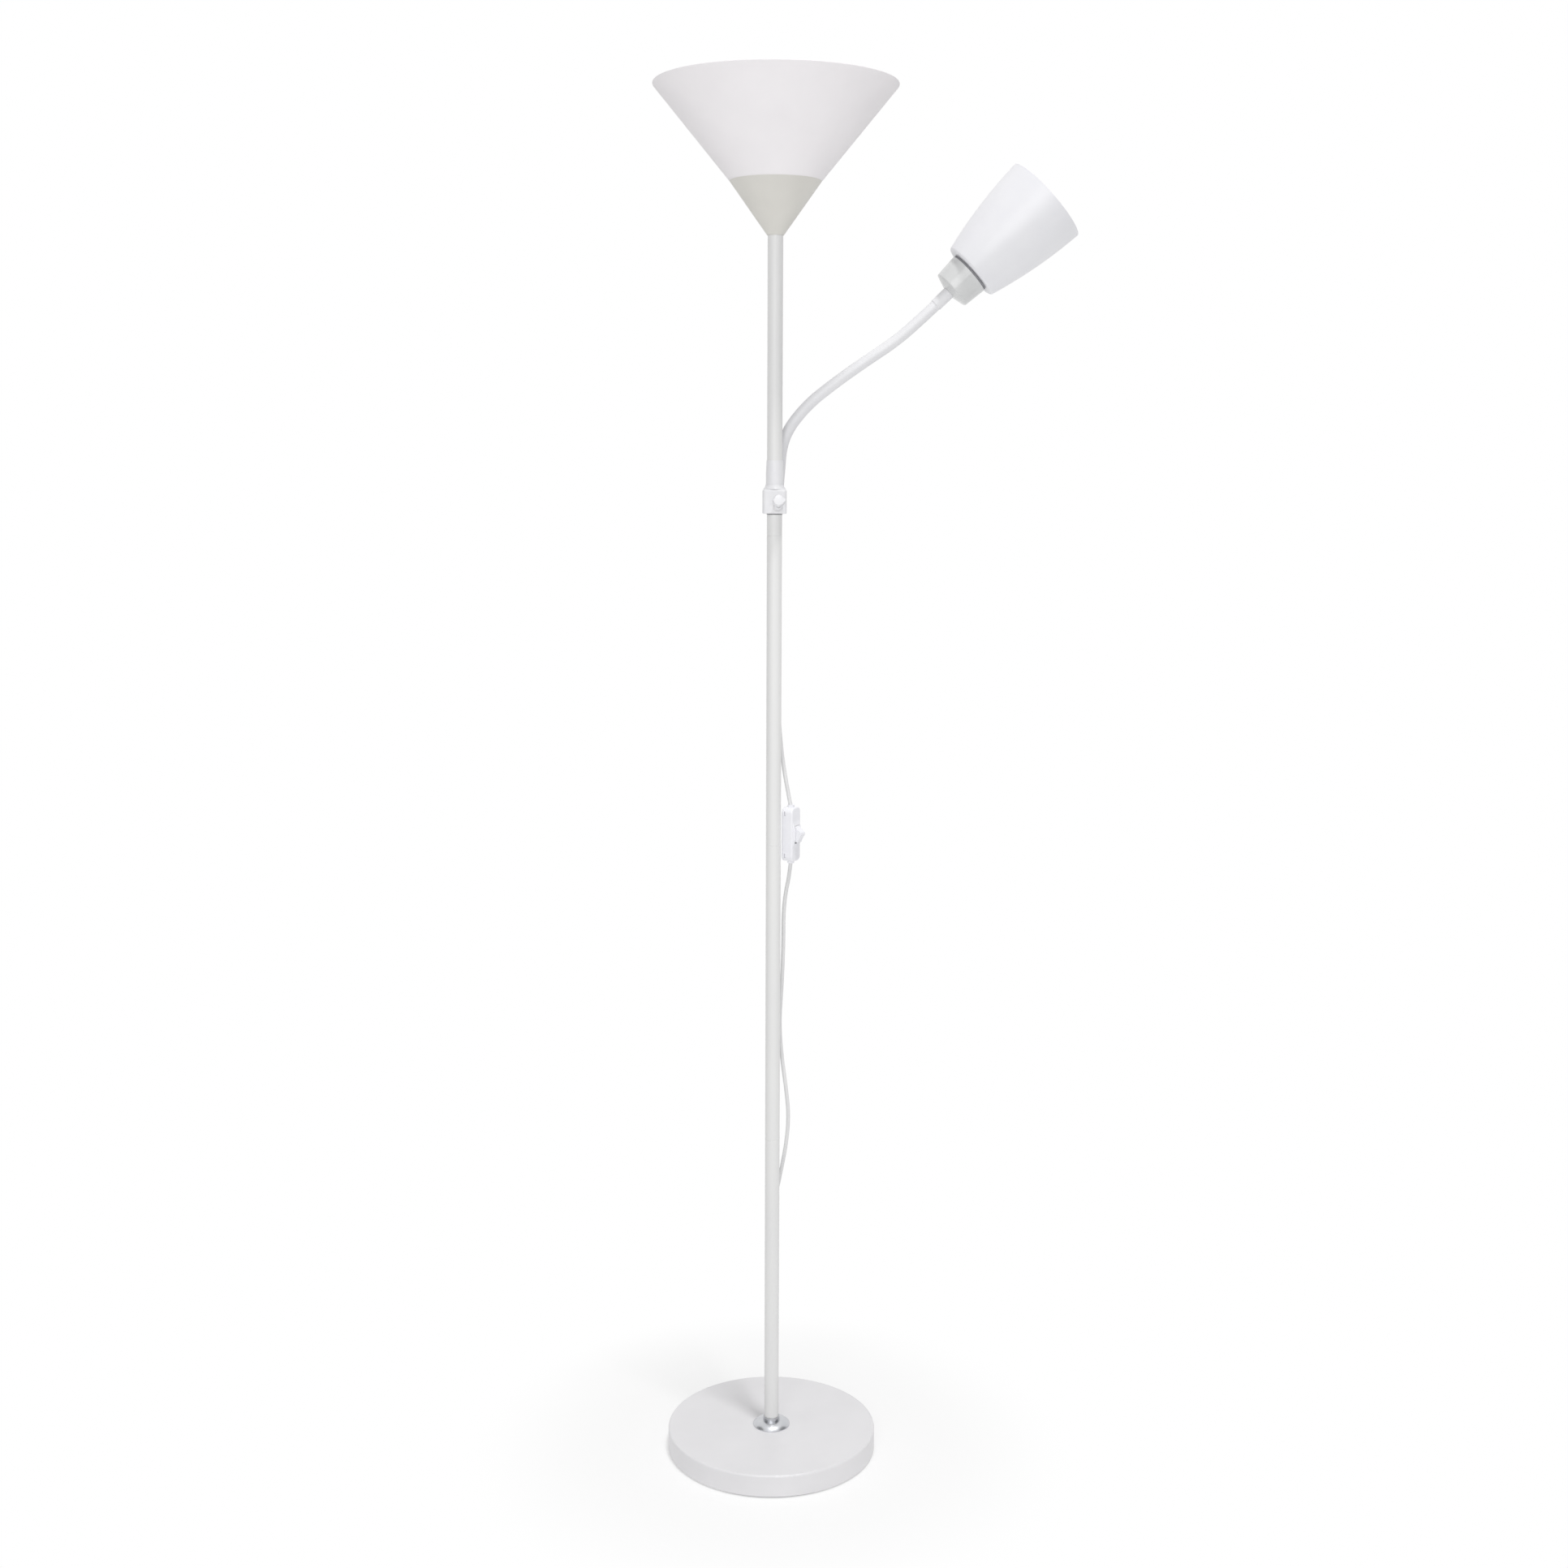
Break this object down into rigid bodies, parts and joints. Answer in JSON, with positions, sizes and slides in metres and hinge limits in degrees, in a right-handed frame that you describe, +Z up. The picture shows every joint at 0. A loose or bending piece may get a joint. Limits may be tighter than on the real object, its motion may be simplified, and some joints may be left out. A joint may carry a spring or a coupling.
{
  "type": "torchiere floor lamp",
  "caption": "Floor lamp with a round weighted base, slim pole, upward-facing translucent cone shade and a reading light on a flexible arm clamped to the pole.",
  "frame": {"origin": "centre of the round base, on the floor", "axes": "+Z up along the pole; +X towards the side that the reading light's arm leans to; -Y towards the front, where the clamp screw points"},
  "size_m": [0.5206, 0.2978, 1.76],
  "materials": {
    "white_base_paint": "smooth satin white stoved paint",
    "white_pole_paint": "smooth satin white stoved paint",
    "cast_iron": "rough cast, painted thinly in grey",
    "felt": "pressed grey felt",
    "zinc_steel": "zinc plated",
    "chrome": "bright chrome",
    "cup_paint": "satin warm grey paint",
    "shade_plastic": "matte translucent white, fine moulded texture",
    "holder_plastic": "satin white",
    "dark_plastic": "satin black",
    "ceramic": "glazed white",
    "brass": "bright drawn brass",
    "clamp_plastic": "white moulded nylon with a soft sheen",
    "sleeve_plastic": "smooth white soft sleeve",
    "reading_holder_plastic": "glossy light grey",
    "reading_shade_plastic": "glossy white",
    "switch_plastic": "glossy white, slightly cool",
    "lead_vinyl": "white vinyl, satin"
  },
  "bodies": {
    "root": {"base_pad": "felt", "base_weight": "cast_iron", "base_cover": "white_base_paint", "base_washer": "zinc_steel", "base_nut": "zinc_steel", "foot_nipple": "zinc_steel", "foot_plug": "zinc_steel", "base_collar": "chrome", "mains_gland": "clamp_plastic", "pole_lower": "white_pole_paint", "pole_mid_lower": "white_pole_paint", "pole_mid_upper": "white_pole_paint", "pole_upper": "white_pole_paint", "pole_couplers": "zinc_steel", "pole_top_plug": "zinc_steel", "main_nipple": "zinc_steel", "pole_lead": "lead_vinyl", "cup": "cup_paint", "cup_nut": "zinc_steel", "main_shade": "shade_plastic", "main_socket_cap": "holder_plastic", "main_socket_skirt": "holder_plastic", "main_socket_insert": "ceramic", "main_socket_shell": "brass", "main_socket_contact": "brass", "main_shade_ring": "holder_plastic", "cord_inlet": "clamp_plastic", "cord_upper": "lead_vinyl", "cord_lower": "lead_vinyl", "switch_base": "switch_plastic", "switch_cover": "switch_plastic", "switch_contacts": "brass"},
    "clamp_slider": {"clamp_bush": "clamp_plastic"},
    "clamp": {"clamp_block": "clamp_plastic", "lead_bush": "clamp_plastic", "gooseneck_stub": "sleeve_plastic"},
    "clamp_screw": {"clamp_stud": "brass", "clamp_wing": "clamp_plastic"},
    "rocker": {"switch_rocker": "switch_plastic"},
    "neck_1": {"gooseneck_link_1": "sleeve_plastic"},
    "neck_2": {"gooseneck_link_2": "sleeve_plastic"},
    "neck_3": {"gooseneck_link_3": "sleeve_plastic"},
    "neck_4": {"gooseneck_link_4": "sleeve_plastic"},
    "neck_5": {"gooseneck_link_5": "sleeve_plastic"},
    "head": {"gooseneck_link_6": "sleeve_plastic", "neck_ferrule": "sleeve_plastic", "holder_cover": "reading_holder_plastic", "holder_nut": "zinc_steel", "reading_nipple": "zinc_steel", "reading_socket_base": "holder_plastic", "reading_socket_skirt": "dark_plastic", "reading_socket_insert": "ceramic", "reading_socket_shell": "brass", "reading_socket_contact": "brass", "reading_shade_ring": "dark_plastic", "reading_shade": "reading_shade_plastic"}
  },
  "joints": [
    {"name": "clamp_slide", "type": "slide", "parent": "root", "child": "clamp_slider", "axis": [0, 0, 1], "range_m": [-0.12, 0.1], "deforming": ["cord_upper"]},
    {"name": "clamp_swivel", "type": "hinge", "parent": "clamp_slider", "child": "clamp", "pos_m": [0, 0, 1.2472], "axis": [0, 0, 1], "range_deg": [-120, 120]},
    {"name": "clamp_screw_turn", "type": "hinge", "parent": "clamp", "child": "clamp_screw", "pos_m": [0, 0, 1.2481], "axis": [0.1884, -0.8865, 0.4226], "range_deg": [0, 360]},
    {"name": "neck_bend_1", "type": "hinge", "parent": "clamp", "child": "neck_1", "pos_m": [0.00759, 0.0195, 1.31736], "axis": [0, 1, 0], "range_deg": [-15, 30]},
    {"name": "neck_bend_2", "type": "hinge", "parent": "neck_1", "child": "neck_2", "pos_m": [0.02377, 0.0195, 1.36032], "axis": [0.8028, 0, -0.5962], "range_deg": [-25, 25]},
    {"name": "neck_bend_3", "type": "hinge", "parent": "neck_2", "child": "neck_3", "pos_m": [0.05604, 0.0195, 1.39362], "axis": [0, 1, 0], "range_deg": [-15, 30]},
    {"name": "neck_bend_4", "type": "hinge", "parent": "neck_3", "child": "neck_4", "pos_m": [0.09332, 0.0195, 1.4214], "axis": [0.5736, 0, -0.8192], "range_deg": [-25, 25]},
    {"name": "neck_bend_5", "type": "hinge", "parent": "neck_4", "child": "neck_5", "pos_m": [0.1318, 0.0195, 1.4475], "axis": [0, 1, 0], "range_deg": [-15, 30]},
    {"name": "neck_bend_6", "type": "hinge", "parent": "neck_5", "child": "head", "pos_m": [0.16866, 0.0195, 1.47578], "axis": [0.6652, 0, -0.7466], "range_deg": [-25, 25]},
    {"name": "switch_rock", "type": "hinge", "parent": "root", "child": "rocker", "pos_m": [0.02925, 0.0051, 0.839], "axis": [0.5, 0.866, 0], "range_deg": [0, 20]}
  ]
}
